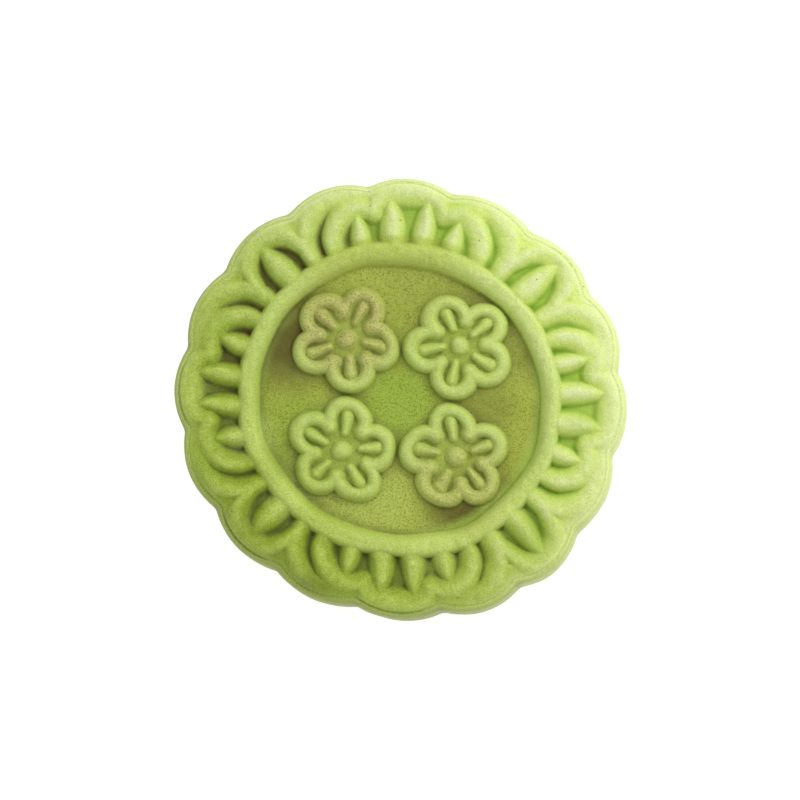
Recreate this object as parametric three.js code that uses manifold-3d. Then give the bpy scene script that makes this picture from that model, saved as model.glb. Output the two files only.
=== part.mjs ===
// A pressed green mooncake: a fluted round of soft dough with a flat foot, a slightly swollen wall
// and a moulded top. The top has a raised ring round a sunk panel of four blossoms, and a border
// of arches and leaves between the ring and the sixteen-lobed edge.
// Millimetres, +Z up, the foot's centre at the origin. Angles are in degrees.

import * as THREE from 'three';
import { mergeVertices } from 'three/addons/utils/BufferGeometryUtils.js';
import Module from 'manifold-3d';

const wasm = await Module();
wasm.setup();

// Whole cake
const HEIGHT = 34;
const LOBES = 16;
const FACETS_PER_LOBE = 6;
const EDGE_RADIUS = 38.8; // top edge at the crown of a lobe
const SCALLOP = 1.65; // how far the top edge draws in at a cusp
const WALL_SCALLOP = 0.86; // part of the scallop that the wall keeps
const WALL_BULGE = 1; // how far the wall swells beyond the top edge
const WALL_FULLNESS = 12; // a higher power keeps the wall upright for longer
const WALL_LEVELS = [3, 16, 30];
const FOOT_ROUND = 1.6;

// Levels of the top, before its outer part falls away
const RELIEF = 2.6; // crests above the sunk floor
const FLOOR = HEIGHT - RELIEF;
const EDGE_RISE = 1.3; // top edge above the floor
const EDGE = FLOOR + EDGE_RISE;
const GROOVE_DEPTH = 0.15; // of the fine line that the mould leaves just inside the edge
const GROOVE_WIDTH = 0.5;
const RIM_RISE = 1.7; // inner side of the rim, above the floor
const RIM_WIDTH = 2.2;
const RIM_FALL = 3; // over this width the rim falls inward to the floor
const ROOT = 0.8; // how far raised strokes reach below the floor, so that they join it

// Ring round the panel
const RING = { crest: 27.2, inner: 2.85, outer: 1.45 };
const RING_SHIFT = { size: 0.3, angle: 250 }; // how far the ring lies off the centre
const RING_SWELLS = [{ crests: 1, size: 0.2, angle: 75 }, { crests: 2, size: 0.4, angle: 75 }]; // inward
const RING_FACETS = 64;

// Border strokes repeat every quarter turn and mirror about each axis. Their crest lines are marks
// of [angle from the axis, radius, width of the inner side, width of the outer side, rise].
const QUARTERS = [0, 90, 180, 270];
const HANDS = [1, -1];
const ARCH_STEPS = 10;
const AXIS_ARCH = [
  [10.6, 34.4, 3, 1.6, 2.3],
  [9.5, 35.5, 3.1, 1.9, 2.35],
  [7.5, 36.6, 3.3, 2.3, 2.35],
  [4, 37.3, 3.5, 2.5, 2.35],
  [0, 37.4, 3.5, 2.5, 2.35],
];
const CORNER_ARCH = [
  [9.8, 31.2, 1.8, 1.5, 2.3],
  [9.5, 32.5, 2.2, 1.6, 2.35],
  [8.7, 34.1, 2.6, 1.8, 2.35],
  [7.6, 35.5, 3, 2, 2.35],
  [5.8, 36.7, 3.2, 2.3, 2.35],
  [3.1, 37.6, 3.4, 2.5, 2.35],
  [0, 37.9, 3.4, 2.5, 2.35],
];
const HOOK = [
  [10.6, 34.3, 2.8, 1.6, 2.2],
  [13.6, 35, 3.2, 2.3, 2.3],
  [16.8, 35.1, 3.5, 2.7, 2.3],
  [20.3, 34.5, 3.5, 2.5, 2.3],
  [23.5, 33.1, 3.4, 1.9, 2.3],
  [26, 30.9, 3.2, 1.7, 2.25],
  [27, 28, 3, 1.5, 2.1],
];
const SWEEP = [
  [22.5, 37.6, 2.4, 1.6, 1.9],
  [25.8, 37.1, 3.1, 1.9, 2.1],
  [28.8, 36.3, 3.5, 2, 2.25],
  [31.3, 35.1, 3.6, 1.9, 2.3],
  [33.3, 33.7, 3.5, 1.8, 2.35],
  [34.5, 32.2, 3.3, 1.7, 2.35],
  [35, 30.4, 3, 1.8, 2.3],
  [35, 28, 2.8, 1.8, 2.1],
];
const CURL_STEPS = 7; // along a hook or a sweep
const CORNER = 45;

// Leaves: angle from the axis, tip radius and half-width
const LEAF_FOOT = 27.6;
const LEAF_RISE = 2.35;
const LEAF_FALL = 0.5; // how much lower a leaf's tip is than its back
const LEAF_DIP = 0.15; // how much lower a leaf starts beside the ring
const LEAF_DIP_LENGTH = 0.3; // part of a leaf's length
const LEAF_BLUNTNESS = 2.8; // a higher power keeps a leaf wide for longer
const LEAF_POINT = 0.06; // part of the half-width left at the tip
const LEAF_STEPS = 4;
const LEAVES = [
  { angle: 5.2, tip: 37.2, halfWidth: 2.6 },
  { angle: 16.1, tip: 34.3, halfWidth: 2.45 },
];
const CORNER_LEAF = { angle: 0, tip: 38.1, halfWidth: 2.85 };

// Blossoms
const BLOSSOM_REACH = 14.1; // from the panel's centre
const PETALS = 5;
const PETAL_REACH = 5.35; // from the blossom's centre
const PETAL_RADIUS = 3.05;
const PETAL_HALF_WIDTH = 1.5;
const PETAL_SWEEP = 118; // to each side of the way that the petal points
const PETAL_RISE = 2;
const PETAL_STEPS = 6;
const STAMEN = { from: 3.3, to: 6.3, halfWidth: 1.2, rise: 1.85 };
const HEART = { radius: 1.85, rise: 2.15, facets: 10 };

// Unevenness of the soft dough: waves round the cake that push its edge out, each with its
// number of crests, its size at the edge and the angle of one crest
const SWELLS = [
  { crests: 2, size: 0.75, angle: -22 },
  { crests: 3, size: 0.13, angle: -51 },
  { crests: 4, size: 0.24, angle: 25 },
  { crests: 5, size: 0.13, angle: 21 },
];
const TWIST = { size: 0.6, angle: 238 }; // how far the top slides round the cake at the edge
const TOP_TILT = { size: 0.25, angle: 60 };
const SHOULDER = { radius: 27, fall: 1.6 }; // from this radius the top falls away to its edge

// Cross-sections of a stroke above its root, from left to right: [part of the side's width, part of
// the rise]
const ROUND = [[0.8, 0.42], [0.25, 0.97], [-0.3, 0.95], [-0.8, 0.42]];
const FINE = [[0.8, 0.5], [0, 1], [-0.8, 0.5]];
const LEAFY = [[0.68, 0.68], [0, 1], [-0.68, 0.68]];

const WELD = 1e-4;
const DOUGH_COLOUR = 0xb4cf6c;

const radians = THREE.MathUtils.degToRad;

function planPoint(angle, radius) {
  return new THREE.Vector2(radius * Math.cos(radians(angle)), radius * Math.sin(radians(angle)));
}

// Radius of the fluted top edge: each lobe is a parabola from cusp to cusp. kept is the part of the
// scallop that is left.
function edgeRadius(angle, kept = 1) {
  const lobe = 360 / LOBES;
  const across = angle / lobe - Math.round(angle / lobe);
  return EDGE_RADIUS - kept * SCALLOP * (2 * across) ** 2;
}

// The sum of a list of waves round the cake at an angle in radians.
function wavesAt(waves, angle) {
  return waves.reduce((sum, { crests, size, angle: crest }) => (
    sum + size * Math.cos(crests * (angle - radians(crest)))
  ), 0);
}

// How far the wall stands out from the top edge at a level.
function wallSwell(level) {
  return WALL_BULGE * (1 - Math.abs(2 * level / EDGE - 1) ** WALL_FULLNESS);
}

// A closed ring of points that follows the edge, moved out by a distance, at a level.
function edgeRing(out, level, kept = 1) {
  const count = LOBES * FACETS_PER_LOBE;
  const ring = [];
  for (let i = 0; i < count; i += 1) {
    const angle = i * 360 / count;
    const point = planPoint(angle, edgeRadius(angle, kept) + out);
    ring.push(new THREE.Vector3(point.x, point.y, level));
  }
  return ring;
}

// A closed surface through rings of equal length, with a fan of triangles over each end.
function loft(rings) {
  const size = rings[0].length;
  const points = rings.flat();
  const faces = [];
  for (let r = 0; r < rings.length - 1; r += 1) {
    for (let i = 0; i < size; i += 1) {
      const a = r * size + i;
      const b = r * size + (i + 1) % size;
      faces.push(a, b, b + size, a, b + size, a + size);
    }
  }
  const last = (rings.length - 1) * size;
  const ends = [rings[0], rings.at(-1)];
  const [first, second] = ends.map((ring) => {
    const middle = new THREE.Vector3();
    ring.forEach((point) => middle.add(point));
    points.push(middle.divideScalar(size));
    return points.length - 1;
  });
  for (let i = 0; i < size; i += 1) {
    const next = (i + 1) % size;
    faces.push(first, next, i);
    faces.push(second, last + i, last + next);
  }
  const geometry = new THREE.BufferGeometry().setFromPoints(points);
  geometry.setIndex(faces);
  return geometry;
}

// The round of dough: foot, wall, edge, groove, rim and the sunk floor.
function body() {
  const turn = FOOT_ROUND * (1 - Math.SQRT1_2);
  const footSwell = wallSwell(FOOT_ROUND);
  return loft([
    edgeRing(footSwell - FOOT_ROUND, 0, WALL_SCALLOP),
    edgeRing(footSwell - turn, turn, WALL_SCALLOP),
    edgeRing(footSwell, FOOT_ROUND, WALL_SCALLOP),
    ...WALL_LEVELS.map((level) => edgeRing(wallSwell(level), level, WALL_SCALLOP)),
    edgeRing(0, EDGE),
    edgeRing(-GROOVE_WIDTH / 2, EDGE - GROOVE_DEPTH),
    edgeRing(-GROOVE_WIDTH, EDGE),
    edgeRing(-RIM_WIDTH, FLOOR + RIM_RISE),
    edgeRing(-RIM_WIDTH - RIM_FALL, FLOOR),
  ]);
}

// A raised stroke along its crest line in plan, rooted below the floor. left and right, the widths
// to each side of the crest, and rise are functions of the way along, 0 to 1.
function stroke(crest, steps, section, left, right, rise) {
  const rings = [];
  for (let i = 0; i <= steps; i += 1) {
    const along = i / steps;
    const centre = crest.getPoint(along);
    const tangent = crest.getTangent(along);
    const high = rise(along);
    const profile = [[1, -ROOT / high], ...section, [-1, -ROOT / high]];
    rings.push(profile.map(([side, up]) => {
      const across = side * (side > 0 ? left(along) : right(along));
      return new THREE.Vector3(
        centre.x - tangent.y * across,
        centre.y + tangent.x * across,
        FLOOR + high * up,
      );
    }));
  }
  return loft(rings);
}

function ringRidge() {
  const section = [[1, -ROOT / RELIEF], ...ROUND, [-1, -ROOT / RELIEF], [1, -ROOT / RELIEF]];
  const profile = section.map(([side, up]) => (
    new THREE.Vector2(RING.crest - side * (side > 0 ? RING.inner : RING.outer), RELIEF * up)
  ));
  const geometry = new THREE.LatheGeometry(profile.reverse(), RING_FACETS);
  geometry.rotateX(Math.PI / 2);
  geometry.translate(0, 0, FLOOR);
  const place = geometry.attributes.position;
  for (let i = 0; i < place.count; i += 1) {
    const [x, y] = [place.getX(i), place.getY(i)];
    const radius = Math.hypot(x, y);
    const inward = Math.max(RING.crest - radius, 0) / RING.inner;
    const moved = 1 - inward * wavesAt(RING_SWELLS, Math.atan2(y, x)) / radius;
    place.setXY(i, x * moved, y * moved);
  }
  const shift = planPoint(RING_SHIFT.angle, RING_SHIFT.size);
  geometry.translate(shift.x, shift.y, 0);
  return geometry;
}

// A function that passes evenly through a list of values from 0 to 1.
function through(values) {
  return (along) => {
    const place = along * (values.length - 1);
    const i = Math.min(Math.floor(place), values.length - 2);
    return THREE.MathUtils.lerp(values[i], values[i + 1], place - i);
  };
}

// A rounded stroke along marks by rising angle from an axis, to one hand of it. Its outer side stays
// inside the groove by the edge.
function markedStroke(turn, hand, marks, steps) {
  const points = marks.map(([angle, radius]) => planPoint(turn + hand * angle, radius));
  const inner = through(marks.map((mark) => mark[2]));
  const outer = through(marks.map(([angle, radius, , width]) => (
    Math.min(width, edgeRadius(turn + hand * angle) - GROOVE_WIDTH - radius)
  )));
  const rise = through(marks.map((mark) => mark[4]));
  const [left, right] = hand > 0 ? [inner, outer] : [outer, inner];
  return stroke(new THREE.SplineCurve(points), steps, ROUND, left, right, rise);
}

// An arch over leaves, the same to both sides of its axis. Its marks go from foot to crown.
function arch(turn, marks) {
  const before = marks.map(([angle, ...rest]) => [-angle, ...rest]);
  const after = marks.slice(0, -1).reverse();
  return markedStroke(turn, 1, [...before, ...after], ARCH_STEPS);
}

// A blunt leaf with a rounded back, pointing outward from the ring.
function leaf(turn, { tip, halfWidth }) {
  const crest = new THREE.LineCurve(planPoint(turn, LEAF_FOOT), planPoint(turn, tip));
  const width = (along) => halfWidth * Math.max(LEAF_POINT, 1 - along ** LEAF_BLUNTNESS);
  const rise = (along) => {
    const dip = LEAF_DIP * Math.max(1 - along / LEAF_DIP_LENGTH, 0) ** 2;
    return LEAF_RISE - LEAF_FALL * along ** 2 - dip;
  };
  return stroke(crest, LEAF_STEPS, LEAFY, width, width, rise);
}

function quarterOfBorder(turn) {
  const pieces = [
    arch(turn, AXIS_ARCH),
    arch(turn + CORNER, CORNER_ARCH),
    leaf(turn + CORNER, CORNER_LEAF),
  ];
  for (const hand of HANDS) {
    pieces.push(markedStroke(turn, hand, HOOK, CURL_STEPS));
    pieces.push(markedStroke(turn, hand, SWEEP, CURL_STEPS));
    LEAVES.forEach((shape) => pieces.push(leaf(turn + hand * shape.angle, shape)));
  }
  return pieces;
}

// An open five-petalled blossom. Each petal is a curled stroke round a stamen.
function blossom(turn) {
  const centre = planPoint(turn, BLOSSOM_REACH);
  const pieces = [];
  for (let i = 0; i < PETALS; i += 1) {
    const way = turn + i * 360 / PETALS;
    const middle = planPoint(way, PETAL_REACH).add(centre);
    const start = radians(way - PETAL_SWEEP);
    const end = radians(way + PETAL_SWEEP);
    const petal = new THREE.EllipseCurve(middle.x, middle.y, PETAL_RADIUS, PETAL_RADIUS, start, end);
    const petalWidth = () => PETAL_HALF_WIDTH;
    pieces.push(stroke(petal, PETAL_STEPS, FINE, petalWidth, petalWidth, () => PETAL_RISE));
    const foot = planPoint(way, STAMEN.from).add(centre);
    const tip = planPoint(way, STAMEN.to).add(centre);
    const stamen = new THREE.LineCurve(foot, tip);
    const stamenWidth = () => STAMEN.halfWidth;
    pieces.push(stroke(stamen, 1, FINE, stamenWidth, stamenWidth, () => STAMEN.rise));
  }
  const heart = new THREE.SphereGeometry(1, HEART.facets, HEART.facets / 2);
  heart.rotateX(Math.PI / 2);
  heart.scale(HEART.radius, HEART.radius, HEART.rise);
  heart.translate(centre.x, centre.y, FLOOR);
  pieces.push(heart);
  return pieces;
}

function solid(geometry) {
  geometry.deleteAttribute('normal');
  geometry.deleteAttribute('uv');
  const welded = mergeVertices(geometry, WELD);
  return new wasm.Manifold(new wasm.Mesh({
    numProp: 3,
    vertProperties: new Float32Array(welded.attributes.position.array),
    triVerts: new Uint32Array(welded.index.array),
  }));
}

// One geometry of all the pieces joined.
function join(pieces) {
  const whole = pieces.map(solid).reduce((sum, piece) => sum.add(piece));
  const mesh = whole.getMesh();
  const geometry = new THREE.BufferGeometry();
  geometry.setAttribute('position', new THREE.BufferAttribute(mesh.vertProperties, 3));
  geometry.setIndex(new THREE.BufferAttribute(mesh.triVerts, 1));
  return geometry;
}

// Makes the pressed form as uneven as soft dough, and stands it over the origin.
function settle(geometry) {
  const place = geometry.attributes.position;
  const point = new THREE.Vector3();
  for (let i = 0; i < place.count; i += 1) {
    point.fromBufferAttribute(place, i);
    const angle = Math.atan2(point.y, point.x);
    const radius = Math.hypot(point.x, point.y);
    const outward = radius / EDGE_RADIUS;
    let push = 0;
    let slide = TWIST.size * Math.min(outward, 1) ** 2 * Math.cos(angle - radians(TWIST.angle));
    for (const { crests, size, angle: crest } of SWELLS) {
      const wave = crests * (angle - radians(crest));
      push += size * outward ** (crests - 1) * Math.cos(wave);
      slide -= size * outward ** (crests - 1) * Math.sin(wave);
    }
    const shoulder = Math.max(radius - SHOULDER.radius, 0) / (EDGE_RADIUS - SHOULDER.radius);
    const lift = TOP_TILT.size * outward * Math.cos(angle - radians(TOP_TILT.angle));
    place.setXYZ(
      i,
      point.x + push * Math.cos(angle) - slide * Math.sin(angle),
      point.y + push * Math.sin(angle) + slide * Math.cos(angle),
      point.z * (1 + (lift - SHOULDER.fall * shoulder ** 2) / HEIGHT),
    );
  }
  geometry.computeBoundingBox();
  const { min, max } = geometry.boundingBox;
  geometry.translate(-(min.x + max.x) / 2, -(min.y + max.y) / 2, -min.z);
  geometry.computeVertexNormals();
  return geometry;
}

const borders = QUARTERS.flatMap(quarterOfBorder);
const blossoms = QUARTERS.flatMap((turn) => blossom(turn + CORNER));
const dough = new THREE.MeshStandardMaterial({ color: DOUGH_COLOUR, roughness: 0.65, metalness: 0 });
const mooncake = new THREE.Mesh(settle(join([body(), ringRidge(), ...borders, ...blossoms])), dough);
mooncake.name = 'mooncake';

const group = new THREE.Group();
group.add(mooncake);

export default group;
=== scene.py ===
"""The looks of a pressed green mooncake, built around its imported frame.

The dough is one fine closed mesh. Its moulded top is a height worked out from the same named sizes
as the CAD part: a ring round a sunk panel of four blossoms, and a border of arches, hooks, sweeps
and leaves. The form is worked out in millimetres and made metres once, when the mesh is built.
Angles are in degrees, counted from +X towards +Y.
"""

import math

import bpy
import numpy as np
from mathutils import Matrix, Vector


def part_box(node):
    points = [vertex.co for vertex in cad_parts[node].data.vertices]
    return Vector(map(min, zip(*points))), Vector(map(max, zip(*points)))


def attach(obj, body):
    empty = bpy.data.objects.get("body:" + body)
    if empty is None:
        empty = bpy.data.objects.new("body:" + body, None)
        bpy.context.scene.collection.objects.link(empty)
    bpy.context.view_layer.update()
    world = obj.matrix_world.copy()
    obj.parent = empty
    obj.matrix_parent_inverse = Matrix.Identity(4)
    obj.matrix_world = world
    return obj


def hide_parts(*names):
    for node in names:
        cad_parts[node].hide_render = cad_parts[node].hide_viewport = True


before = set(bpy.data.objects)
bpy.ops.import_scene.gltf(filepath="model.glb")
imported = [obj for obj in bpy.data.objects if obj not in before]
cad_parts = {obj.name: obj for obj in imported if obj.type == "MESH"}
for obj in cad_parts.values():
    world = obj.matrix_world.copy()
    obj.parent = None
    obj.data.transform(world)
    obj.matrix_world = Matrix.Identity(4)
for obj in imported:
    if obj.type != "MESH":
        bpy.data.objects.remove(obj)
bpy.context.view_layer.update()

MM = 0.001

# Whole cake
HEIGHT = 34
LOBES = 16
EDGE_RADIUS = 38.8  # top edge at the crown of a lobe
SCALLOP = 1.65  # how far the top edge draws in at a cusp
WALL_SCALLOP = 0.86  # part of the scallop that the wall keeps
CUSP_SOFTNESS = 0.1  # part of a half lobe over which a cusp is rounded
WALL_BULGE = 1.0
WALL_FULLNESS = 12  # a higher power keeps the wall upright for longer
FOOT_ROUND = 1.6

# Levels of the top, from the sunk floor
RELIEF = 2.6
FLOOR = HEIGHT - RELIEF
EDGE_RISE = 1.3  # the top's edge over the floor, before the shoulder falls away
EDGE = FLOOR + EDGE_RISE
LIP_WIDTH = 0.5
LIP_RISE = 0.06  # how much higher the edge is at the lip's inner side
BEAD = 0.26  # how far the rounded bead below the edge stands out
RIM_RISE = 1.7
RIM_WIDTH = 2.2
RIM_FALL = 3.0  # over this width the rim falls inward to the floor
FILLET = 0.32  # how softly neighbouring forms run into each other
CREASE_DEPTH = 1.6  # how steeply a form falls away beyond its own foot
SECTION_POWER = 2.0  # of the rounded sections: higher is fuller

# Ring round the panel
RING_CREST = 27.2
RING_SHIFT = 0.3  # how far the ring lies off the centre
RING_SHIFT_ANGLE = 250
RING_INNER_WIDTH = 2.85
# Unevenness of the ring's inner width: [crests round the ring, size, angle of one crest]
RING_SWELLS = [[1, 0.2, 75], [2, 0.4, 75]]
RING_OUTER_WIDTH = 1.45
RING_RISE = 2.6
RING_POWER = 2.7

# Angles of the border and the blossoms
QUARTER = 90  # after which the border's drawing and the blossoms repeat
CORNER = 45  # of a corner arch and of a blossom, from an axis

# Crests of the border's strokes, counted from an axis: marks of [angle, radius, width of the inner
# side, width of the outer side, rise], with the inner side on the left
AXIS_ARCH = [
    [-10.6, 34.4, 3.0, 1.6, 2.3],
    [-9.5, 35.5, 3.1, 1.9, 2.35],
    [-7.5, 36.6, 3.3, 2.3, 2.35],
    [-4, 37.3, 3.5, 2.5, 2.35],
    [0, 37.4, 3.5, 2.5, 2.35],
    [4, 37.3, 3.5, 2.5, 2.35],
    [7.5, 36.6, 3.3, 2.3, 2.35],
    [9.5, 35.5, 3.1, 1.9, 2.35],
    [10.6, 34.4, 3.0, 1.6, 2.3],
]
HOOK = [
    [10.6, 34.3, 2.8, 1.6, 2.2],
    [13.6, 35, 3.2, 2.3, 2.3],
    [16.8, 35.1, 3.5, 2.7, 2.3],
    [20.3, 34.5, 3.5, 2.5, 2.3],
    [23.5, 33.1, 3.4, 1.9, 2.3],
    [26, 30.9, 3.2, 1.7, 2.25],
    [27, 28, 3.0, 1.5, 2.1],
]
SWEEP = [
    [22.5, 37.6, 2.4, 1.6, 1.9],
    [25.8, 37.1, 3.1, 1.9, 2.1],
    [28.8, 36.3, 3.5, 2, 2.25],
    [31.3, 35.1, 3.6, 1.9, 2.3],
    [33.3, 33.7, 3.5, 1.8, 2.35],
    [34.5, 32.2, 3.3, 1.7, 2.35],
    [35, 30.4, 3.0, 1.8, 2.3],
    [35, 28, 2.8, 1.8, 2.1],
]
CORNER_ARCH = [
    [35.2, 31.2, 1.8, 1.5, 2.3],
    [35.5, 32.5, 2.2, 1.6, 2.35],
    [36.3, 34.1, 2.6, 1.8, 2.35],
    [37.4, 35.5, 3.0, 2, 2.35],
    [39.2, 36.7, 3.2, 2.3, 2.35],
    [41.9, 37.6, 3.4, 2.5, 2.35],
    [45, 37.9, 3.4, 2.5, 2.35],
    [48.3, 37.6, 3.4, 2.5, 2.35],
]
LEAF_FOOT = 27.6
LEAF_RISE = 2.35
LEAF_FALL = 0.5
LEAF_DIP = 0.15  # how much lower a leaf starts beside the ring
LEAF_DIP_LENGTH = 0.3
LEAF_BLUNTNESS = 2.8
LEAF_POWER = 2.0
LEAF_END_POWER = 12  # a higher power keeps a leaf's back up for longer towards its tip
LEAF_TIP_WIDTH = 0.05  # part of the half-width that is left at the tip
# Each leaf's angle, tip radius and half-width
LEAVES = [(5.2, 37.2, 2.6), (-5.2, 37.2, 2.6), (16.1, 34.3, 2.45), (CORNER, 38.1, 2.85)]

# Blossoms
BLOSSOM_REACH = 14.1
PETALS = 5
PETAL_REACH = 5.35
PETAL_RADIUS = 3.05
PETAL_HALF_WIDTH = 1.5
PETAL_SWEEP = 118
PETAL_RISE = 2.0
STAMEN_FROM = 3.3
STAMEN_TO = 6.3
STAMEN_HALF_WIDTH = 1.4
STAMEN_TAPER = 0.4  # part of its width that a stamen loses towards the heart
BLOSSOM_FILLET = 0.5
BLOSSOM_POWER = 2.5
STAMEN_RISE = 1.85
HEART_RADIUS = 1.85
HEART_RISE = 2.15
PAD_RADIUS = 7  # of the low round that the petals and the heart stand on
PAD_RISE = 0.6

# Unevenness of the soft dough: [crests round the cake, size at the edge, angle of one crest]
SWELLS = [[2, 0.75, -22], [3, 0.13, -51], [4, 0.24, 25], [5, 0.13, 21]]
TWIST = 0.6  # how far the border slides round the cake at the edge
TWIST_ANGLE = 238
TOP_TILT = 0.25
TOP_TILT_ANGLE = 60
WAVE_LENGTHS = (0.7, 1.5)  # the shortest and longest wave of an uneven field, in parts of its size
DRIFT = 0.18  # how far the pressed forms stray from the mould's drawing
DRIFT_SIZE = 13
RISE_DRIFT = 0.03  # how far their rises stray, as a part of the rise
LUMPS = 0.05
LUMP_SIZE = 2.4
CRUMBS = 0.022
CRUMB_SIZE = 1.1
FLOOR_SHARE = 0.4  # part of the lumps and crumbs that the sunk floor has
WALL_UNEVENNESS = 0.1
WALL_WAVE_SIZE = 17
SHOULDER_RADIUS = 27  # from here outward the top falls away to its edge
SHOULDER_FALL = 1.6

# Mesh
SIDES = 6  # the top is meshed like a hexagon of triangles that is rounded to a disc
RINGS = 158  # of points in the top, each with SIDES more than the last
EDGE_POINTS = SIDES * RINGS
SCALLOP_POWER = 8  # a higher power keeps the scallop nearer the top's edge
# Rows of the rounded lip: [how far out from the edge, how far below it]
LIP_ROWS = [[-0.32, 0.06], [-0.2, 0.2], [-0.12, 0.22], [0, 0.1], [0.12, 0.1], [0.25, 0.18]]
BEAD_DEPTHS = [0.3, 0.5, 0.9, 1.5, 2.3, 3.3, 4.6]
WALL_START = 6  # how far below the edge the wall's evenly spaced rows start
WALL_ROWS = 6
FOOT_ROWS = 5
UNDERSIDE_INSET = 4
STROKE_PIECES = 36  # straight pieces that stand for a curved stroke

# Tone of the dough, kept as attributes of the mesh
TONE_GRID = 0.2  # step of the grid on which hollows are found
TONE_REACH = 44  # half the side of that grid
NEAR_BLUR = 0.45  # how far a point's surroundings reach, close by
FAR_BLUR = 2.0  # and farther round
WALL_TONE_START = 0.4  # below the edge, where the wall's own tone begins
WALL_TONE_LENGTH = 0.8
FLUTE_SHADE = 0.36  # how hollow the wall's flutes count for the painted shade in them
FLUTE_SHARPNESS = 3
LIP_HIGHLIGHT_WIDTH = 0.45  # of the painted highlight along the top's edge


def round_section(u, power=SECTION_POWER):
    """Height of a rounded section, 1 at the crest and 0 at the foot, for the part u of its width."""
    return 1 - np.minimum(u, 1) ** power


def foot_fall(u, half_width):
    """How far a form has fallen below the floor beyond its foot, so that joins stay soft."""
    return np.maximum(u - 1, 0) * half_width * CREASE_DEPTH


def soft_max(a, b, softness=FILLET):
    """The higher of two forms, with a fillet where they meet."""
    near = np.maximum(softness - np.abs(a - b), 0) / softness
    return np.maximum(a, b) + near**2 * softness / 4


def plan(angle, radius):
    turn = math.radians(angle)
    return np.array([radius * math.cos(turn), radius * math.sin(turn)])


def waves(seed, size, count=14):
    """A smooth uneven field over the plan: a sum of waves of about one size in every direction."""
    rng = np.random.default_rng(seed)
    ways = rng.uniform(0, 2 * np.pi, count)
    lengths = size * rng.uniform(*WAVE_LENGTHS, count)
    phases = rng.uniform(0, 2 * np.pi, count)

    def field(x, y):
        total = np.zeros(np.shape(x))
        for way, length, phase in zip(ways, lengths, phases):
            total += np.sin((x * math.cos(way) + y * math.sin(way)) * 2 * np.pi / length + phase)
        return total / math.sqrt(count / 2)

    return field


def spline(rows, pieces):
    """Points evenly along a smooth curve through rows of numbers."""
    rows = np.array(rows, float)
    padded = np.vstack([rows[:1], rows, rows[-1:]])
    places = np.linspace(0, len(rows) - 1, pieces + 1)
    start = np.minimum(places.astype(int), len(rows) - 2)
    t = (places - start)[:, None]
    p0, p1, p2, p3 = (padded[start + i] for i in range(4))
    return 0.5 * (2 * p1 + (p2 - p0) * t + (2 * p0 - 5 * p1 + 4 * p2 - p3) * t**2
                  + (3 * p1 - p0 - 3 * p2 + p3) * t**3)


def stroke_height(x, y, marks):
    """Height over the floor of a stroke with a broad inner side and a steeper outer one."""
    line = spline([[*plan(angle, radius), *rest] for angle, radius, *rest in marks], STROKE_PIECES)
    best = np.full(x.shape, np.inf)
    wide = np.ones(x.shape)
    high = np.ones(x.shape)
    for a, b in zip(line[:-1], line[1:]):
        step = b[:2] - a[:2]
        ax, ay = x - a[0], y - a[1]
        along = np.clip((ax * step[0] + ay * step[1]) / step.dot(step), 0, 1)
        inner_side = step[0] * ay - step[1] * ax > 0
        inner, outer, rise = (a[i] + (b[i] - a[i]) * along for i in (2, 3, 4))
        width = np.where(inner_side, inner, outer)
        u = np.hypot(ax - step[0] * along, ay - step[1] * along) / width
        nearer = u < best
        best = np.where(nearer, u, best)
        wide = np.where(nearer, width, wide)
        high = np.where(nearer, rise, high)
    return high * round_section(best) - foot_fall(best, wide)


def leaf_height(x, y, angle, tip, half_width):
    """A blunt leaf with a rounded back, pointing outward from the ring."""
    way = plan(angle, 1)
    along = (x * way[0] + y * way[1] - LEAF_FOOT) / (tip - LEAF_FOOT)
    across = np.abs(y * way[0] - x * way[1])
    s = np.clip(along, 0, 1)
    wide = half_width * np.maximum(1 - s**LEAF_BLUNTNESS, LEAF_TIP_WIDTH)
    u = across / wide
    dip = LEAF_DIP * np.maximum(1 - s / LEAF_DIP_LENGTH, 0) ** 2
    rise = (LEAF_RISE - LEAF_FALL * s**2 - dip) * (1 - s**LEAF_END_POWER)
    outside = np.abs(along - s) * (tip - LEAF_FOOT)
    return rise * round_section(u, LEAF_POWER) - foot_fall(u, wide) - outside * CREASE_DEPTH


def border_height(x, y):
    """Height of the border. It repeats every quarter and mirrors about each axis, so the plan is
    folded into one eighth."""
    radius = np.hypot(x, y)
    angle = np.abs((np.degrees(np.arctan2(y, x)) + CORNER) % QUARTER - CORNER)
    fx = radius * np.cos(np.radians(angle))
    fy = radius * np.sin(np.radians(angle))
    height = stroke_height(fx, fy, AXIS_ARCH)
    for marks in (CORNER_ARCH, HOOK, SWEEP):
        height = soft_max(height, stroke_height(fx, fy, marks))
    for leaf in LEAVES:
        height = soft_max(height, leaf_height(fx, fy, *leaf))
    return height


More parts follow.
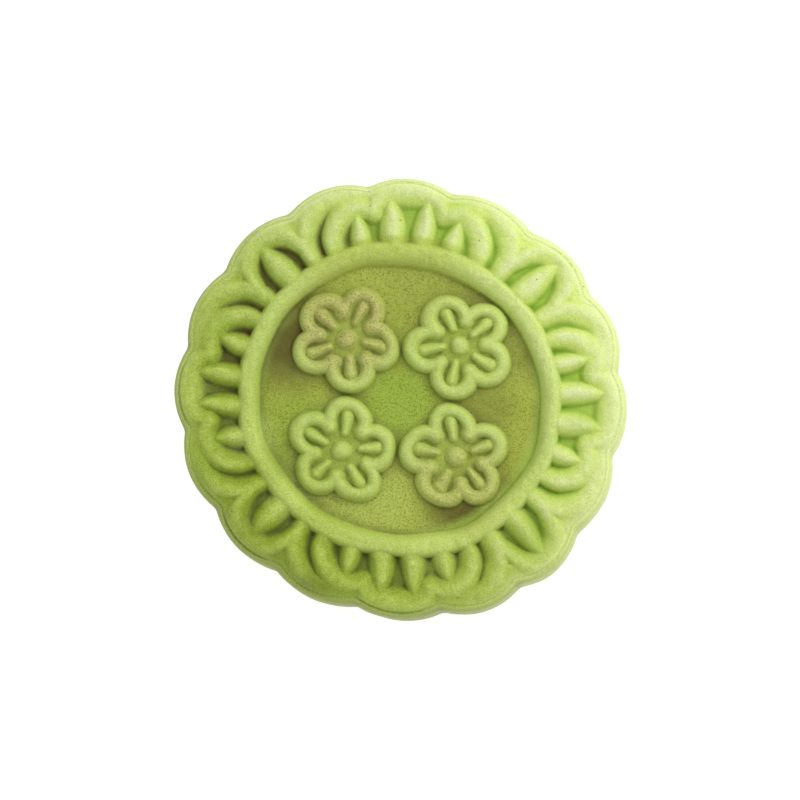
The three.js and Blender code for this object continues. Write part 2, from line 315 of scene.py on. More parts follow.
def blossom_height(x, y, turn):
    """An open blossom: five petals, each a curled stroke round a stamen, and a round heart."""
    centre = plan(turn, BLOSSOM_REACH)
    bx, by = x - centre[0], y - centre[1]
    radius = np.hypot(bx, by)
    heart = HEART_RISE * np.sqrt(np.clip(1 - (radius / HEART_RADIUS) ** 2, 0, 1))
    height = np.where(radius < HEART_RADIUS, heart, (HEART_RADIUS - radius) * CREASE_DEPTH)
    pad = PAD_RISE - np.maximum(radius - PAD_RADIUS, 0) * CREASE_DEPTH
    height = soft_max(height, pad, BLOSSOM_FILLET)
    for i in range(PETALS):
        way = plan(turn + i * 360 / PETALS, 1)
        px = bx * way[0] + by * way[1]
        py = by * way[0] - bx * way[1]
        turned = np.degrees(np.arctan2(py, px - PETAL_REACH))
        held = np.radians(np.clip(turned, -PETAL_SWEEP, PETAL_SWEEP))
        dx = px - PETAL_REACH - PETAL_RADIUS * np.cos(held)
        dy = py - PETAL_RADIUS * np.sin(held)
        u = np.hypot(dx, dy) / PETAL_HALF_WIDTH
        petal = PETAL_RISE * round_section(u, BLOSSOM_POWER) - foot_fall(u, PETAL_HALF_WIDTH)
        height = soft_max(height, petal, BLOSSOM_FILLET)
        along = np.clip((px - STAMEN_FROM) / (STAMEN_TO - STAMEN_FROM), 0, 1)
        half_width = STAMEN_HALF_WIDTH * (1 - STAMEN_TAPER + STAMEN_TAPER * along)
        u = np.hypot(px - STAMEN_FROM - (STAMEN_TO - STAMEN_FROM) * along, py) / half_width
        stamen = STAMEN_RISE * round_section(u, BLOSSOM_POWER) - foot_fall(u, half_width)
        height = soft_max(height, stamen, BLOSSOM_FILLET)
    return height


def scallop(angle):
    """How far the edge draws in at an angle: each lobe is a parabola, with a softened cusp."""
    lobe = 360 / LOBES
    across = 2 * np.abs(angle / lobe - np.round(angle / lobe))
    soft = np.where(
        across > 1 - CUSP_SOFTNESS,
        across - (across - 1 + CUSP_SOFTNESS) ** 2 / (2 * CUSP_SOFTNESS),
        across,
    )
    return SCALLOP * soft**2


def rim_height(x, y):
    """The raised rim outside the arches, which falls inward to the floor."""
    inward = EDGE_RADIUS - scallop(np.degrees(np.arctan2(y, x))) - np.hypot(x, y)
    rises = [EDGE_RISE, EDGE_RISE + LIP_RISE, RIM_RISE]
    slope = np.interp(inward, [0, LIP_WIDTH, RIM_WIDTH], rises)
    fall = np.clip((inward - RIM_WIDTH) / RIM_FALL, 0, 1)
    return slope * (1 - fall**2 * (3 - 2 * fall))


def ring_height(x, y):
    """The raised ring, a little off the centre and uneven at its inner side."""
    angle = np.arctan2(y, x)
    crest_radius = RING_CREST + RING_SHIFT * np.cos(angle - math.radians(RING_SHIFT_ANGLE))
    offset = np.hypot(x, y) - crest_radius
    inner = RING_INNER_WIDTH
    for crests, size, crest in RING_SWELLS:
        inner = inner + size * np.cos(crests * (angle - math.radians(crest)))
    width = np.where(offset < 0, inner, RING_OUTER_WIDTH)
    u = np.abs(offset) / width
    return RING_RISE * round_section(u, RING_POWER) - foot_fall(u, width)


drift_x = waves(3, DRIFT_SIZE)
drift_y = waves(4, DRIFT_SIZE)
drift_rise = waves(5, DRIFT_SIZE)
lumps = waves(6, LUMP_SIZE, count=24)
crumbs = waves(7, CRUMB_SIZE, count=30)
wall_waves = waves(8, WALL_WAVE_SIZE)


def top_height(x, y):
    """Height of the moulded top over the sunk floor at points of the plan."""
    sx = x + DRIFT * drift_x(x, y)
    sy = y + DRIFT * drift_y(x, y)
    height = soft_max(ring_height(sx, sy), rim_height(x, y))
    height = soft_max(height, border_height(sx, sy))
    for quarter in range(4):
        height = soft_max(height, blossom_height(sx, sy, CORNER + QUARTER * quarter))
    raised = np.clip(height, 0, RELIEF) / RELIEF
    rough = LUMPS * lumps(x, y) + CRUMBS * crumbs(x, y)
    shown = FLOOR_SHARE + (1 - FLOOR_SHARE) * raised
    return height * (1 + RISE_DRIFT * drift_rise(x, y)) + rough * shown


def blurred(grid, size):
    """A grid of heights smoothed over a size in millimetres."""
    place = np.fft.fftfreq(grid.shape[0]) / TONE_GRID
    spread = np.exp(-2 * (np.pi * size) ** 2 * (place[:, None] ** 2 + place[None, :] ** 2))
    return np.real(np.fft.ifft2(np.fft.fft2(grid) * spread))


def sampled(grid, x, y):
    """Values of a grid over the plan at points, evenly between its own points."""
    gx = (x + TONE_REACH) / TONE_GRID
    gy = (y + TONE_REACH) / TONE_GRID
    ix = np.clip(gx.astype(int), 0, grid.shape[1] - 2)
    iy = np.clip(gy.astype(int), 0, grid.shape[0] - 2)
    tx, ty = gx - ix, gy - iy
    low = grid[iy, ix] * (1 - tx) + grid[iy, ix + 1] * tx
    high = grid[iy + 1, ix] * (1 - tx) + grid[iy + 1, ix + 1] * tx
    return low * (1 - ty) + high * ty


def disc():
    """Plan angle and share of the radius for each point of the top, and its triangles."""
    angles, shares, faces = [np.zeros(1)], [np.zeros(1)], []
    inner_start, start = 0, 1
    for ring in range(1, RINGS + 1):
        count = SIDES * ring
        angles.append(np.arange(count) * 360 / count)
        shares.append(np.full(count, ring / RINGS))
        side = np.repeat(np.arange(SIDES), ring)
        step = np.tile(np.arange(ring), SIDES)
        a = start + side * ring + step
        b = start + (side * ring + step + 1) % count
        inner = max(count - SIDES, 1)
        c = inner_start + (side * (ring - 1) + step) % inner
        d = inner_start + (side * (ring - 1) + step + 1) % inner
        faces.append(np.stack([c, a, b], 1))
        between = step < ring - 1
        faces.append(np.stack([c, b, d], 1)[between])
        inner_start, start = start, start + count
    return np.concatenate(angles), np.concatenate(shares), np.concatenate(faces)


def skirt_rows():
    """Rows round the cake below the top's edge: [how far out from the edge, level]."""
    rows = [[out, EDGE - below] for out, below in LIP_ROWS]
    middle = EDGE / 2
    for depth in BEAD_DEPTHS + np.linspace(WALL_START, EDGE - FOOT_ROUND, WALL_ROWS).tolist():
        level = EDGE - depth
        swell = WALL_BULGE * (1 - (abs(level - middle) / middle) ** WALL_FULLNESS)
        rows.append([max(swell, BEAD) if level > middle else swell, level])
    foot_out = rows[-1][0]
    for step in range(1, FOOT_ROWS + 1):
        turn = math.pi / 2 * step / FOOT_ROWS
        inward = FOOT_ROUND * (1 - math.cos(turn))
        rows.append([foot_out - inward, FOOT_ROUND * (1 - math.sin(turn))])
    rows.append([foot_out - UNDERSIDE_INSET, 0])
    return rows


def settled(points):
    """The pressed form made as uneven as soft dough, and stood where the CAD cake stands."""
    angle = np.arctan2(points[:, 1], points[:, 0])
    radius = np.hypot(points[:, 0], points[:, 1])
    outward = radius / EDGE_RADIUS
    push = np.zeros(len(points))
    slide = TWIST * np.minimum(outward, 1) ** 2 * np.cos(angle - math.radians(TWIST_ANGLE))
    for crests, size, crest in SWELLS:
        push += size * outward ** (crests - 1) * np.cos(crests * (angle - math.radians(crest)))
        slide -= size * outward ** (crests - 1) * np.sin(crests * (angle - math.radians(crest)))
    lift = TOP_TILT * outward * np.cos(angle - math.radians(TOP_TILT_ANGLE))
    moved = points.copy()
    moved[:, 0] += push * np.cos(angle) - slide * np.sin(angle)
    moved[:, 1] += push * np.sin(angle) + slide * np.cos(angle)
    shoulder = np.maximum(radius - SHOULDER_RADIUS, 0) / (EDGE_RADIUS - SHOULDER_RADIUS)
    moved[:, 2] *= 1 + (lift - SHOULDER_FALL * shoulder**2) / HEIGHT
    low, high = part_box("mooncake")
    for axis in (0, 1):
        middle = (moved[:, axis].min() + moved[:, axis].max()) / 2
        moved[:, axis] += (low[axis] + high[axis]) / 2 / MM - middle
    return moved


def vertices(x, y, level, wall=0.0, flute=0.0, lip=0.0):
    """Rows of a place and of what the material reads there: how much it is wall, flute (where shade
    is painted) and lip (where a highlight is painted).
    """
    return np.stack(np.broadcast_arrays(x, y, level, wall, flute, lip), 1)


def top_vertices(angles, shares):
    """The top's points, up to where the rounded lip starts."""
    reach = EDGE_RADIUS - LIP_WIDTH
    radius = reach * shares - scallop(angles) * shares**SCALLOP_POWER
    x = radius * np.cos(np.radians(angles))
    y = radius * np.sin(np.radians(angles))
    # Painted highlight along the top's edge
    lip = np.exp(-((reach * (1 - shares) / LIP_HIGHLIGHT_WIDTH) ** 2))
    return vertices(x, y, FLOOR + top_height(x, y), lip=lip)


def skirt_vertices():
    """A list of closed rows of points, from the lip down to the underside."""
    angle = np.arange(EDGE_POINTS) * 360 / EDGE_POINTS
    turn = np.radians(angle)
    drawn_in = scallop(angle)
    edge = EDGE_RADIUS - drawn_in
    rows = []
    for out, level in skirt_rows():
        depth = EDGE - level
        uneven = wall_waves(edge * turn, level) * math.sin(math.pi * level / EDGE)
        eased = (1 - WALL_SCALLOP) * min(depth / SCALLOP, 1)
        around = edge + out + WALL_UNEVENNESS * uneven + eased * drawn_in
        wall = min(max((depth - WALL_TONE_START) / WALL_TONE_LENGTH, 0), 1)
        # Painted shade in the wall's flutes
        flute = FLUTE_SHADE * wall * (drawn_in / SCALLOP) ** FLUTE_SHARPNESS
        # Painted highlight just below the edge
        lip = math.exp(-((depth / LIP_HIGHLIGHT_WIDTH) ** 2))
        rows.append(vertices(around * np.cos(turn), around * np.sin(turn), level, wall, flute, lip))
    return rows


def hollows(x, y):
    """How far the top lies below its surroundings at points, close by and farther round."""
    span = np.arange(-TONE_REACH, TONE_REACH, TONE_GRID)
    grid_x, grid_y = np.meshgrid(span, span)
    edge = EDGE_RADIUS - scallop(np.degrees(np.arctan2(grid_y, grid_x)))
    inside = np.hypot(grid_x, grid_y) < edge
    grid = np.where(inside, top_height(grid_x, grid_y), EDGE_RISE)
    return [sampled(blurred(grid, size) - grid, x, y) for size in (NEAR_BLUR, FAR_BLUR)]


def dough_mesh():
    """The cake's closed mesh, with attributes for the height, the hollows, the wall and the lip,
    where a highlight is painted.
    """
    angles, shares, faces = disc()
    rows = [top_vertices(angles, shares), *skirt_vertices(), vertices([0.0], 0, 0, wall=1)]
    triangles = [faces]
    turn = np.arange(EDGE_POINTS)
    after = (turn + 1) % EDGE_POINTS
    below = len(angles)
    above = below - EDGE_POINTS
    for _ in rows[1:-1]:
        triangles.append(np.stack([above + turn, below + turn, below + after], 1))
        triangles.append(np.stack([above + turn, below + after, above + after], 1))
        above, below = below, below + EDGE_POINTS
    triangles.append(np.stack([above + turn, np.full(EDGE_POINTS, below), above + after], 1))
    rows = np.concatenate(rows)
    points = rows[:, :3]
    wall, flute, lip = rows[:, 3:].T
    height = points[:, 2] - FLOOR
    hollow_near, hollow_far = hollows(points[:, 0], points[:, 1])
    on_top = np.clip(height + 1, 0, 1) * (1 - wall)

    mesh = bpy.data.meshes.new("mooncake_dough")
    corners = np.concatenate(triangles).astype(np.int32)
    mesh.from_pydata((settled(points) * MM).tolist(), [], corners.tolist())
    mesh.polygons.foreach_set("use_smooth", [True] * len(mesh.polygons))
    for name, values in {
        "height": np.clip(height / RELIEF, -1, 1),
        "hollow_near": hollow_near * on_top + flute,
        "hollow_far": hollow_far * on_top,
        "wall": wall,
        "lip": lip,
    }.items():
        kept = mesh.attributes.new(name, "FLOAT", "POINT")
        kept.data.foreach_set("value", values.astype(np.float32))
    mesh.update()
    return mesh


def colour(red, green, blue):
    """A colour written as the eye sees it, each part from 11 to 255, made linear for the shader."""
    linear = [((c / 255 + 0.055) / 1.055) ** 2.4 for c in (red, green, blue)]
    return (*linear, 1.0)


# Colours of the dough. Each of these pairs is a shaded and a lit copy of one colour, from the dim
# side
# of the cake to the bright one: painted light and shade for the key light that falls from the bright
# side
# painted highlight on the crests and the rim
CREST_HIGHLIGHT = (colour(188, 206, 98), colour(213, 220, 168))
SLOPE = (colour(152, 174, 54), colour(204, 220, 124))
# painted shade in the hollows; the grain is also darkened towards it
SUNK_SHADE_AND_GRAIN = (colour(116, 130, 46), colour(160, 188, 72))
# painted shade in the narrow creases
CREASE_SHADE = (colour(84, 92, 30), colour(118, 168, 36))
WALL = (colour(140, 148, 52), colour(208, 216, 142))
# These are the same on both sides
# painted shade in the hollows of the upper left, in brown
SUNK_SHADE_BROWN = colour(92, 90, 34)
# painted highlight along the top's edge
LIP_HIGHLIGHT = colour(226, 234, 178)
# painted shade in the creases near the tan dough, in brown
CREASE_SHADE_BROWN = colour(72, 42, 14)
PANEL = colour(166, 177, 70)
PANEL_GREEN = colour(150, 180, 60)
PANEL_PALE = colour(188, 202, 106)
# brown of the panel's speckles and patches, and of the painted shade in its hollows
PANEL_BROWN_AND_SHADE = colour(98, 90, 28)
# painted shade in the creases round the blossoms on the panel
PANEL_CREASE_SHADE = colour(90, 108, 38)
# painted shade on the lower left border
BORDER_OLIVE_SHADE = colour(102, 116, 38)
# painted highlight on the border's rim
BORDER_PALE_HIGHLIGHT = colour(196, 212, 112)
BORDER_GREEN = colour(150, 178, 52)
RING_PALE = colour(206, 222, 128)
TAN = colour(186, 178, 110)
RING_TAN = colour(178, 190, 84)
WARM = colour(255, 254, 244)
SPECK = colour(96, 72, 38)

# Regions of the plan, in millimetres: [x, y, reach, softness]
RING_AND_PANEL = (0, 0, 28, 1)
PANEL_INSIDE = (0, 0, 23.2, 2.2)
INSIDE_RIM = (0, 0, 35.5, 2)
UPPER_LEFT = (-26, 19, 13, 12)
# where the painted shade in the creases turns brown
LOWER_RIGHT = (11, -29, 11, 10)
TAN_BLOSSOM = (-10, 12, 5, 7)
LOWER_TAN_BLOSSOM = (11, -14, 4, 8)
TAN_RING = (-4, 27, 8, 12)

# Patches of the panel's floor: [x, y, reach, softness, strength, colour]
PANEL_PATCHES = [
    (0, -1, 2, 10, 0.7, PANEL_GREEN),
    (-17, -10, 3, 11, 0.5, PANEL_GREEN),
    (-17, -16, 1, 6, 0.5, PANEL_PALE),
    (-5, -20, 5, 8, 0.65, PANEL_PALE),
    # painted shadow left of the upper left blossom and below the lower right one, in brown
    (-20, 8, 2.5, 8, 0.95, PANEL_BROWN_AND_SHADE),
    (13, -20, 2, 9, 0.95, PANEL_BROWN_AND_SHADE),
    (16, -1, 1, 6, 0.4, PANEL_BROWN_AND_SHADE),
    (2, 21, 3, 8, 0.45, PANEL_BROWN_AND_SHADE),
    (22, 8, 1, 6, 0.3, PANEL_BROWN_AND_SHADE),
]
# Patches of the ring and the border, in the same way
BORDER_PATCHES = [
    (-26, -8, 1, 5, 0.45, RING_PALE),
    (7, -26.5, 1, 6, 0.3, RING_PALE),
    (-19, -19, 1, 5, 0.45, RING_PALE),
    (19, -19, 1, 5, 0.35, RING_PALE),
    # painted shade on the lower border
    (-14, -35.5, 1.5, 3.5, 0.35, BORDER_OLIVE_SHADE),
    # painted highlight on the rim
    (-38.5, 0, 1.5, 5, 0.4, BORDER_PALE_HIGHLIGHT),
    (-34, 17, 1.5, 5, 0.35, BORDER_PALE_HIGHLIGHT),
    (26, -27, 2, 6, 0.12, BORDER_PALE_HIGHLIGHT),
    (24, -24, 2, 4, 0.4, BORDER_GREEN),
    (8, 34, 2, 4, 0.25, BORDER_GREEN),
    (33, -3, 1, 4, 0.3, BORDER_GREEN),
]
# Small dark specks of the border: [angle, radius]
SPECKS = [(43.3, 31.9), (65.8, 31), (101.6, 34.2), (33.8, 38), (92.6, 31.3), (288.8, 37), (217, 36)]
SPECK_REACH = 0.05
SPECK_SOFTNESS = 0.16

# Ways across the cake that tones follow
PAINTED_LIGHT_WAY = (22.5, 16.3, 0)  # towards the side painted lighter, as if lit, where the cake's edge lies at about 1.1
# the way along which the painted highlight on the rim grows
UPPER_WAY = (0.3, 1, 0)
LOWER_WAY = (0.1, -1, 0)
OLIVE_SHADE_ANGLE = 232  # where the painted shade on the cake's outer slope, which faces away from the light, is darkest

# Ramps: [from, to], or [from, to, value at from, value at to]. Ways and levels are in metres, and
# hollows in millimetres
# Painted light over the ring and panel, and over the border, from the dim side to the bright one
RING_PAINTED_LIGHT = (-0.85, 0.85)
BORDER_PAINTED_LIGHT = (-0.85, 0.95)
CREST_HIGHLIGHT_BY_HOLLOW = (-0.8, 0.05, 1.0, 0.0)
CREST_HIGHLIGHT_BY_MOTTLE = (0.3, 0.7, 0.7, 1.15)
CREST_HIGHLIGHT_BY_RING = (0.0, 1.0, 1.0, 0.5)
RIM_HIGHLIGHT_BY_WAY = (-0.028, -0.005, 0.216, 0.72)
SUNK_SHADE_BY_HOLLOW = (0.1, 1.2)
FLOOR_BY_HEIGHT = (0.05, 0.45, 1.0, 0.0)
PANEL_SHADE_BY_HOLLOW = (0.25, 1.1, 0.0, 0.6)
OLIVE_SHADE_BY_WAY = (0.031, 0.037, 0.0, 0.3)
STREAK_BY_NOISE = (0.35, 0.75, 0.0, 0.25)
BLOTCH_BY_NOISE = (0.4, 0.7, 0.0, 0.25)
FOOT_SHADE_BY_LEVEL = (0.0, 0.005, 0.5, 0.0)
LIP_HIGHLIGHT_BY_SIDE = (-0.4, 0.1, 0.08, 0.35)
CREASE_SHADE_BY_HOLLOW = (0.12, 0.55, 0.0, 0.85)
TAN_BY_HEIGHT = (0.15, 0.6, 0.0, 0.75)
SPECKLE_BY_NOISE = (0.5, 0.66, 0.0, 0.85)
CLOUD_BY_NOISE = (0.35, 0.7, 0.0, 0.16)
GRAIN_BY_NOISE = (0.3, 0.75, 0.0, 0.5)
GRAIN_BY_LIGHT_SIDE = (0.0, 1.0, 1.0, 0.75)
WARM_BY_WAY = (0.005, 0.025)

RING_PAINTED_LIGHT_POWER = 3.0  # a higher power keeps the painted light even for farther from the middle
# How much of a tone is shown
SUNK_SHADE_BROWN_SHARE = 0.8
LOWER_SHADE_BROWN_SHARE = 0.9
LOWER_TAN_SHARE = 0.65
RING_TAN_SHARE = 0.6
FLOOR_SPECKLE_SHARE = 0.62
SPECK_SHARE = 0.8

# Noises: [waves to the metre, detail, roughness]
MOTTLE = (700, 3, 0.6)
GRAIN = (4200, 2, 0.6)
SPECKLES = (3000, 2, 0.6)
CLOUDS = (160, 3, 0.5)
BLOTCHES = (110, 3, 0.5)
STREAKS = (1, 3, 0.6)
STREAK_SCALE = (900, 900, 55)  # of the faint upright lines that the mould leaves on the wall
LUMP_NOISES = [((1500, 2, 0.5), 1.2), ((420, 2, 0.5), 2.5)]  # each with its share of the relief
STREAK_RELIEF = 4.0


class Look:
    """Nodes of one shader tree. Each call but add gives back the output of what it makes."""

    def __init__(self, tree):
        self.tree = tree

    def add(self, kind, inputs=None, **settings):
        """A new node. inputs maps a socket to a value or to another node's output."""
        made = self.tree.nodes.new(kind)
        for name, value in settings.items():
            setattr(made, name, value)
        for socket, value in (inputs or {}).items():
            if isinstance(value, bpy.types.NodeSocket):
                self.tree.links.new(value, made.inputs[socket])
            else:
                made.inputs[socket].default_value = value
        return made

    def attribute(self, name):
        return self.add("ShaderNodeAttribute", attribute_name=name).outputs["Fac"]

    def maths(self, operation, a, b):
        return self.add("ShaderNodeMath", {0: a, 1: b}, operation=operation).outputs[0]

    def times(self, a, b):
        return self.maths("MULTIPLY", a, b)

    def more(self, a, b):
        return self.maths("MAXIMUM", a, b)

    def scaled(self, place, scale):
        made = self.add("ShaderNodeVectorMath", {0: place, 1: scale}, operation="MULTIPLY")
        return made.outputs["Vector"]

    def along(self, place, way):
        made = self.add("ShaderNodeVectorMath", {0: place, 1: way}, operation="DOT_PRODUCT")
        return made.outputs["Value"]

    def height_of(self, place):
        return self.add("ShaderNodeSeparateXYZ", {0: place}).outputs["Z"]

    def rising(self, value, low, high, to_low=0.0, to_high=1.0):
        """A value that climbs smoothly from to_low to to_high between low and high."""
        inputs = {
            "Value": value,
            "From Min": low,
            "From Max": high,
            "To Min": to_low,
            "To Max": to_high,
        }
        made = self.add("ShaderNodeMapRange", inputs, interpolation_type="SMOOTHSTEP")
        return made.outputs["Result"]

    def noise(self, place, scale, detail, roughness):
        inputs = {"Vector": place, "Scale": scale, "Detail": detail, "Roughness": roughness}
        return self.add("ShaderNodeTexNoise", inputs).outputs["Fac"]

    def between(self, amount, a, b):
        inputs = {0: amount, 2: a, 3: b}
        return self.add("ShaderNodeMix", inputs, data_type="FLOAT").outputs[0]

    def mixed(self, amount, a, b, mode="MIX"):
        inputs = {0: amount, 6: a, 7: b}
        return self.add("ShaderNodeMix", inputs, data_type="RGBA", blend_type=mode).outputs[2]


class Dough(Look):
    """The dough's nodes, with what several of its tones share."""

    def __init__(self, tree):
        super().__init__(tree)
        self.place = self.add("ShaderNodeTexCoord").outputs["Object"]
        self.over = self.scaled(self.place, (1, 1, 0))  # the same place, laid flat on the plan
        self.height = self.attribute("height")
        self.hollow_near = self.attribute("hollow_near")
        self.hollow_far = self.attribute("hollow_far")
        self.wall = self.attribute("wall")
        self.ring_and_panel = self.near(*RING_AND_PANEL)
        self.upper_left = self.near(*UPPER_LEFT)
        self.inside = self.near(*PANEL_INSIDE)
        self.floor = self.times(self.inside, self.rising(self.height, *FLOOR_BY_HEIGHT))
        # Painted light: how far a point lies towards the side that is painted lighter, as if lit
        self.across = self.along(self.place, PAINTED_LIGHT_WAY)
        ring_light_side = self.rising(self.maths("POWER", self.across, RING_PAINTED_LIGHT_POWER), *RING_PAINTED_LIGHT)
        border_light_side = self.rising(self.across, *BORDER_PAINTED_LIGHT)
        self.side = self.between(self.ring_and_panel, border_light_side, ring_light_side)
        self.grain = self.noise(self.place, *GRAIN)
        streaks = self.noise(self.scaled(self.place, STREAK_SCALE), *STREAKS)
        self.streak = self.times(self.rising(streaks, *STREAK_BY_NOISE), self.wall)

    def near(self, x, y, reach, softness):
        """1 within a reach of a point of the plan, falling to 0 over a softness."""
        points = {0: self.over, 1: (x * MM, y * MM, 0)}
        away = self.add("ShaderNodeVectorMath", points, operation="DISTANCE").outputs["Value"]
        return self.rising(away, reach * MM, (reach + softness) * MM, 1.0, 0.0)

    # A colour pair painted from its shaded copy on the dim side to its lit copy on the bright side
    def painted_side_light(self, pair):
        return self.mixed(self.side, *pair)

    def patched(self, base, patches):
        for x, y, reach, softness, strength, tone in patches:
            near = self.near(x, y, reach, softness)
            base = self.mixed(self.times(near, strength), base, tone)
        return base


def form_tone(dough):
    """Painted highlights on the crests and on the rim towards the upper side, green slopes, and
    painted shade in the olive hollows.
    """
    mottle = dough.noise(dough.place, *MOTTLE)
    # Painted highlight: the crests are painted pale, less so inside the ring
    crest = dough.rising(dough.hollow_far, *CREST_HIGHLIGHT_BY_HOLLOW)
    crest = dough.times(crest, dough.rising(mottle, *CREST_HIGHLIGHT_BY_MOTTLE))
    crest = dough.times(crest, dough.rising(dough.ring_and_panel, *CREST_HIGHLIGHT_BY_RING))
    # Painted highlight on the rim, stronger towards the upper side where the light falls
    rim_highlight = dough.maths("SUBTRACT", 1.0, dough.near(*INSIDE_RIM))
    upper = dough.along(dough.place, UPPER_WAY)
    rim_highlight = dough.times(rim_highlight, dough.rising(upper, *RIM_HIGHLIGHT_BY_WAY))
    base = dough.mixed(dough.more(crest, rim_highlight), dough.painted_side_light(SLOPE), dough.painted_side_light(CREST_HIGHLIGHT))
    # Painted shade in the hollows, browner at the upper left
    browned_shade = dough.times(dough.upper_left, SUNK_SHADE_BROWN_SHARE)
    sunk_shade = dough.mixed(browned_shade, dough.painted_side_light(SUNK_SHADE_AND_GRAIN), SUNK_SHADE_BROWN)
    return dough.mixed(dough.rising(dough.hollow_far, *SUNK_SHADE_BY_HOLLOW), base, sunk_shade)


def panel_tone(dough):
    panel = dough.patched(PANEL, PANEL_PATCHES)
    # Painted shade: the panel's floor turns brown in its hollows
    return dough.mixed(dough.rising(dough.hollow_far, *PANEL_SHADE_BY_HOLLOW), panel, PANEL_BROWN_AND_SHADE)


def wall_tone(dough):
    """The wall, faintly streaked by the mould, blotched, and with painted shade at its foot."""
    blotches = dough.noise(dough.place, *BLOTCHES)
    blotch = dough.times(dough.rising(blotches, *BLOTCH_BY_NOISE), dough.wall)
    level = dough.height_of(dough.place)
    # Painted shade at the wall's foot
    foot_shade = dough.times(dough.rising(level, *FOOT_SHADE_BY_LEVEL), dough.wall)
    base = dough.mixed(dough.streak, dough.painted_side_light(WALL), dough.painted_side_light(SLOPE))
    base = dough.mixed(blotch, base, dough.painted_side_light(SLOPE))
    return dough.mixed(foot_shade, base, dough.painted_side_light(SUNK_SHADE_AND_GRAIN))


def crease_shaded(dough, base, tan):
    """The base with painted shade in its narrow creases: green, or brown near the tan dough."""
    lower_right = dough.times(dough.near(*LOWER_RIGHT), LOWER_SHADE_BROWN_SHARE)
    browner_shade = dough.more(dough.more(dough.upper_left, tan), lower_right)
    crease_shade = dough.mixed(dough.inside, dough.painted_side_light(CREASE_SHADE), PANEL_CREASE_SHADE)
    crease_shade = dough.mixed(browner_shade, crease_shade, CREASE_SHADE_BROWN)
    return dough.mixed(dough.rising(dough.hollow_near, *CREASE_SHADE_BY_HOLLOW), base, crease_shade)


def tanned(dough, base, tan):
    """The base with the tan of two blossoms and of the upper ring, and the panel's speckles."""
    ring_tan = dough.times(dough.near(*TAN_RING), RING_TAN_SHARE)
    base = dough.mixed(dough.times(ring_tan, dough.ring_and_panel), base, RING_TAN)
    tan = dough.times(tan, dough.rising(dough.height, *TAN_BY_HEIGHT))
    base = dough.mixed(tan, base, TAN)
    speckled = dough.more(tan, dough.times(dough.floor, FLOOR_SPECKLE_SHARE))
    speckles = dough.rising(dough.noise(dough.place, *SPECKLES), *SPECKLE_BY_NOISE)
    return dough.mixed(dough.times(speckles, speckled), base, PANEL_BROWN_AND_SHADE)


def grained(dough, base):
    """The base with faint clouds, grain, warmth towards the lower half, and specks."""
    clouds = dough.noise(dough.place, *CLOUDS)
    base = dough.mixed(dough.rising(clouds, *CLOUD_BY_NOISE), base, dough.painted_side_light(SLOPE))
    grain = dough.rising(dough.grain, *GRAIN_BY_NOISE)
    # The grain is fainter on the side that is painted lighter, as if lit
    grain = dough.times(grain, dough.rising(dough.side, *GRAIN_BY_LIGHT_SIDE))
    base = dough.mixed(grain, base, dough.painted_side_light(SUNK_SHADE_AND_GRAIN), "MULTIPLY")
    lower = dough.along(dough.place, LOWER_WAY)
    base = dough.mixed(dough.rising(lower, *WARM_BY_WAY), base, WARM, "MULTIPLY")
    for angle, radius in SPECKS:
        speck = dough.near(*plan(angle, radius), SPECK_REACH, SPECK_SOFTNESS)
        base = dough.mixed(dough.times(speck, SPECK_SHARE), base, SPECK)
    return base


def dough_colour(dough):
    base = dough.mixed(dough.floor, form_tone(dough), panel_tone(dough))
    base = dough.patched(base, BORDER_PATCHES)
    # Painted shade on the outer slope at the lower left, which faces away from the light
    outward = dough.along(dough.place, (*plan(OLIVE_SHADE_ANGLE, 1), 0))
    base = dough.mixed(dough.rising(outward, *OLIVE_SHADE_BY_WAY), base, BORDER_OLIVE_SHADE)
    base = dough.mixed(dough.wall, base, wall_tone(dough))
    # Painted highlight along the edge, stronger on the bright side
    lip = dough.times(dough.attribute("lip"), dough.rising(dough.across, *LIP_HIGHLIGHT_BY_SIDE))
    base = dough.mixed(lip, base, LIP_HIGHLIGHT)
    lower_tan = dough.times(dough.near(*LOWER_TAN_BLOSSOM), LOWER_TAN_SHARE)
    tan = dough.more(dough.near(*TAN_BLOSSOM), lower_tan)
    base = crease_shaded(dough, base, tan)
    base = tanned(dough, base, tan)
    return grained(dough, base)


def dough_relief(dough):
    """The normal of the fine grain and lumps, and of the wall's streaks."""
    rough = dough.grain
    for noise, share in LUMP_NOISES:
        lumps_here = dough.noise(dough.place, *noise)
        rough = dough.maths("ADD", rough, dough.times(lumps_here, share))
    rough = dough.maths("ADD", rough, dough.times(dough.streak, STREAK_RELIEF))
    inputs = {"Strength": 0.5, "Distance": 0.00015, "Height": rough}
    return dough.add("ShaderNodeBump", inputs).outputs["Normal"]


def dough_material():
    material = bpy.data.materials.new("mooncake_dough")
    material.use_nodes = True
    material.node_tree.nodes.clear()
    dough = Dough(material.node_tree)
    surface = dough.add("ShaderNodeBsdfPrincipled", {
        "Base Color": dough_colour(dough),
        "Roughness": 0.52,
        "IOR": 1.42,
        "Specular IOR Level": 0.28,
        "Subsurface Weight": 0.5,
        "Subsurface Radius": (0.9, 1.0, 0.35),
        "Subsurface Scale": 0.0006,
        "Sheen Weight": 0.05,
        "Sheen Roughness": 0.5,
        "Normal": dough_relief(dough),
    })
    dough.add("ShaderNodeOutputMaterial", {"Surface": surface.outputs["BSDF"]})
    return material


def cake():
    mesh = dough_mesh()
    piece = bpy.data.objects.new("mooncake_dough", mesh)
    bpy.context.scene.collection.objects.link(piece)
    mesh.materials.append(dough_material())
    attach(piece, "root")
    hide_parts("mooncake")


# Stage
FLOOR_SIZE = 8.0
FLOOR_COLOUR = (0.36, 0.36, 0.36, 1.0)
FLOOR_ROUGHNESS = 0.9
FLOOR_GLOW = 0.82
WHITE = (1, 1, 1, 1)


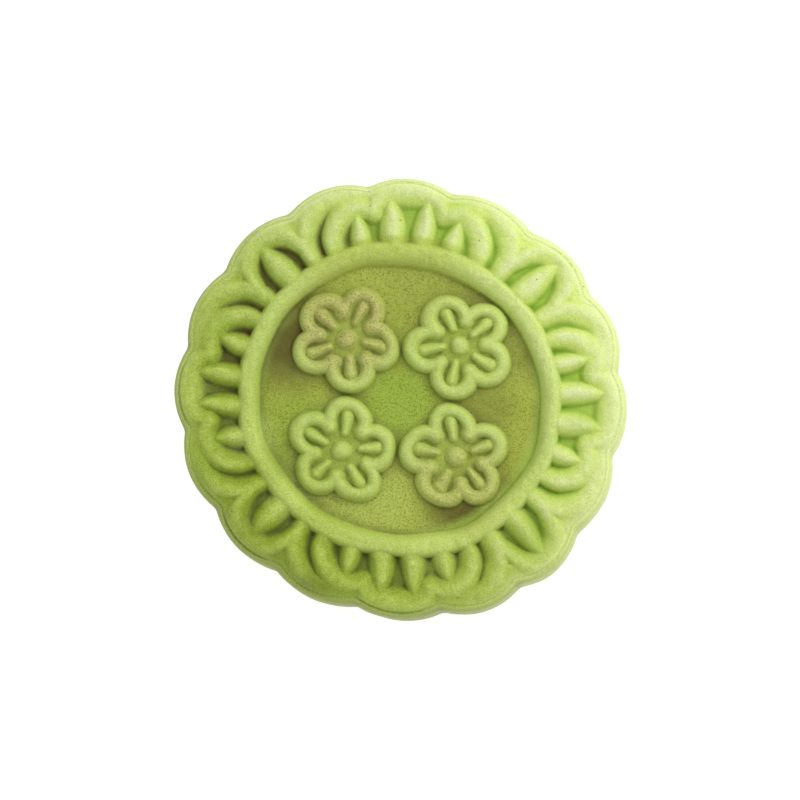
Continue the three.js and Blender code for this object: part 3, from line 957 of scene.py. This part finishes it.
def stage():
    bpy.ops.mesh.primitive_plane_add(size=FLOOR_SIZE)
    floor = bpy.context.object
    floor.name = "floor"
    material = bpy.data.materials.new("floor")
    material.use_nodes = True
    surface = material.node_tree.nodes["Principled BSDF"]
    surface.inputs["Base Color"].default_value = FLOOR_COLOUR
    surface.inputs["Roughness"].default_value = FLOOR_ROUGHNESS
    surface.inputs["Emission Color"].default_value = WHITE
    surface.inputs["Emission Strength"].default_value = FLOOR_GLOW
    floor.data.materials.append(material)


# Camera: almost straight above, a little from the picture's lower right
PICTURE_WIDTH = 800
SENSOR_WIDTH = 36
PIXELS_PER_MM = 5.65
CAMERA_DISTANCE = 1.2
CAMERA_TILT = 2.9
CAMERA_SIDE = -58
CAMERA_ROLL = 2.8
RING_CENTRE = Vector((0.00016, -0.0002, 0.0325))
RING_IN_PICTURE = (400.7, 398.0)


def camera():
    tilt = math.radians(CAMERA_TILT)
    side = math.radians(CAMERA_SIDE)
    sideways = math.sin(tilt)
    back = Vector((sideways * math.cos(side), sideways * math.sin(side), math.cos(tilt)))
    roll = math.radians(CAMERA_ROLL)
    right = Vector((-math.sin(roll), math.cos(roll), 0)).cross(back).normalized()
    up = back.cross(right)
    half = PICTURE_WIDTH / 2
    aim = RING_CENTRE - right * ((RING_IN_PICTURE[0] - half) / PIXELS_PER_MM * MM)
    aim -= up * ((half - RING_IN_PICTURE[1]) / PIXELS_PER_MM * MM)
    data = bpy.data.cameras.new("camera")
    data.sensor_width = SENSOR_WIDTH
    data.lens = PIXELS_PER_MM * SENSOR_WIDTH * CAMERA_DISTANCE / MM / PICTURE_WIDTH
    made = bpy.data.objects.new("camera", data)
    bpy.context.scene.collection.objects.link(made)
    turned = Matrix((right, up, back)).transposed().to_4x4()
    made.matrix_world = Matrix.Translation(aim + back * CAMERA_DISTANCE) @ turned
    bpy.context.scene.camera = made


# Lights, in metres and watts: [place, aim, size, power, tint]
KEY_LIGHT = ((0.22, 0.21, 0.36), (0, 0, 0.03), 0.3, 1.33, (1, 0.99, 0.96))
FILL_LIGHT = ((-0.5, -0.4, 0.9), (0, 0, 0.02), 0.9, 1.0, (1, 1, 1))
SKY = 0.65
HORIZON = (0.12, 0.45)  # the studio is white at its walls and greyer above


def area_light(name, place, aim, size, power, tint):
    data = bpy.data.lights.new(name, "AREA")
    data.shape = "DISK"
    data.size = size
    data.energy = power
    data.color = tint
    made = bpy.data.objects.new(name, data)
    bpy.context.scene.collection.objects.link(made)
    made.location = place
    made.rotation_euler = (Vector(aim) - Vector(place)).to_track_quat("-Z", "Y").to_euler()


def lights():
    area_light("key", *KEY_LIGHT)
    area_light("fill", *FILL_LIGHT)
    world = bpy.data.worlds.new("world")
    world.use_nodes = True
    look = Look(world.node_tree)
    up = look.height_of(look.add("ShaderNodeTexCoord").outputs["Generated"])
    strength = look.rising(up, *HORIZON, 1.0, SKY)
    background = world.node_tree.nodes["Background"]
    background.inputs["Color"].default_value = WHITE
    world.node_tree.links.new(strength, background.inputs["Strength"])
    bpy.context.scene.world = world
    bpy.context.scene.view_settings.view_transform = "Standard"


camera()
cake()
stage()
lights()
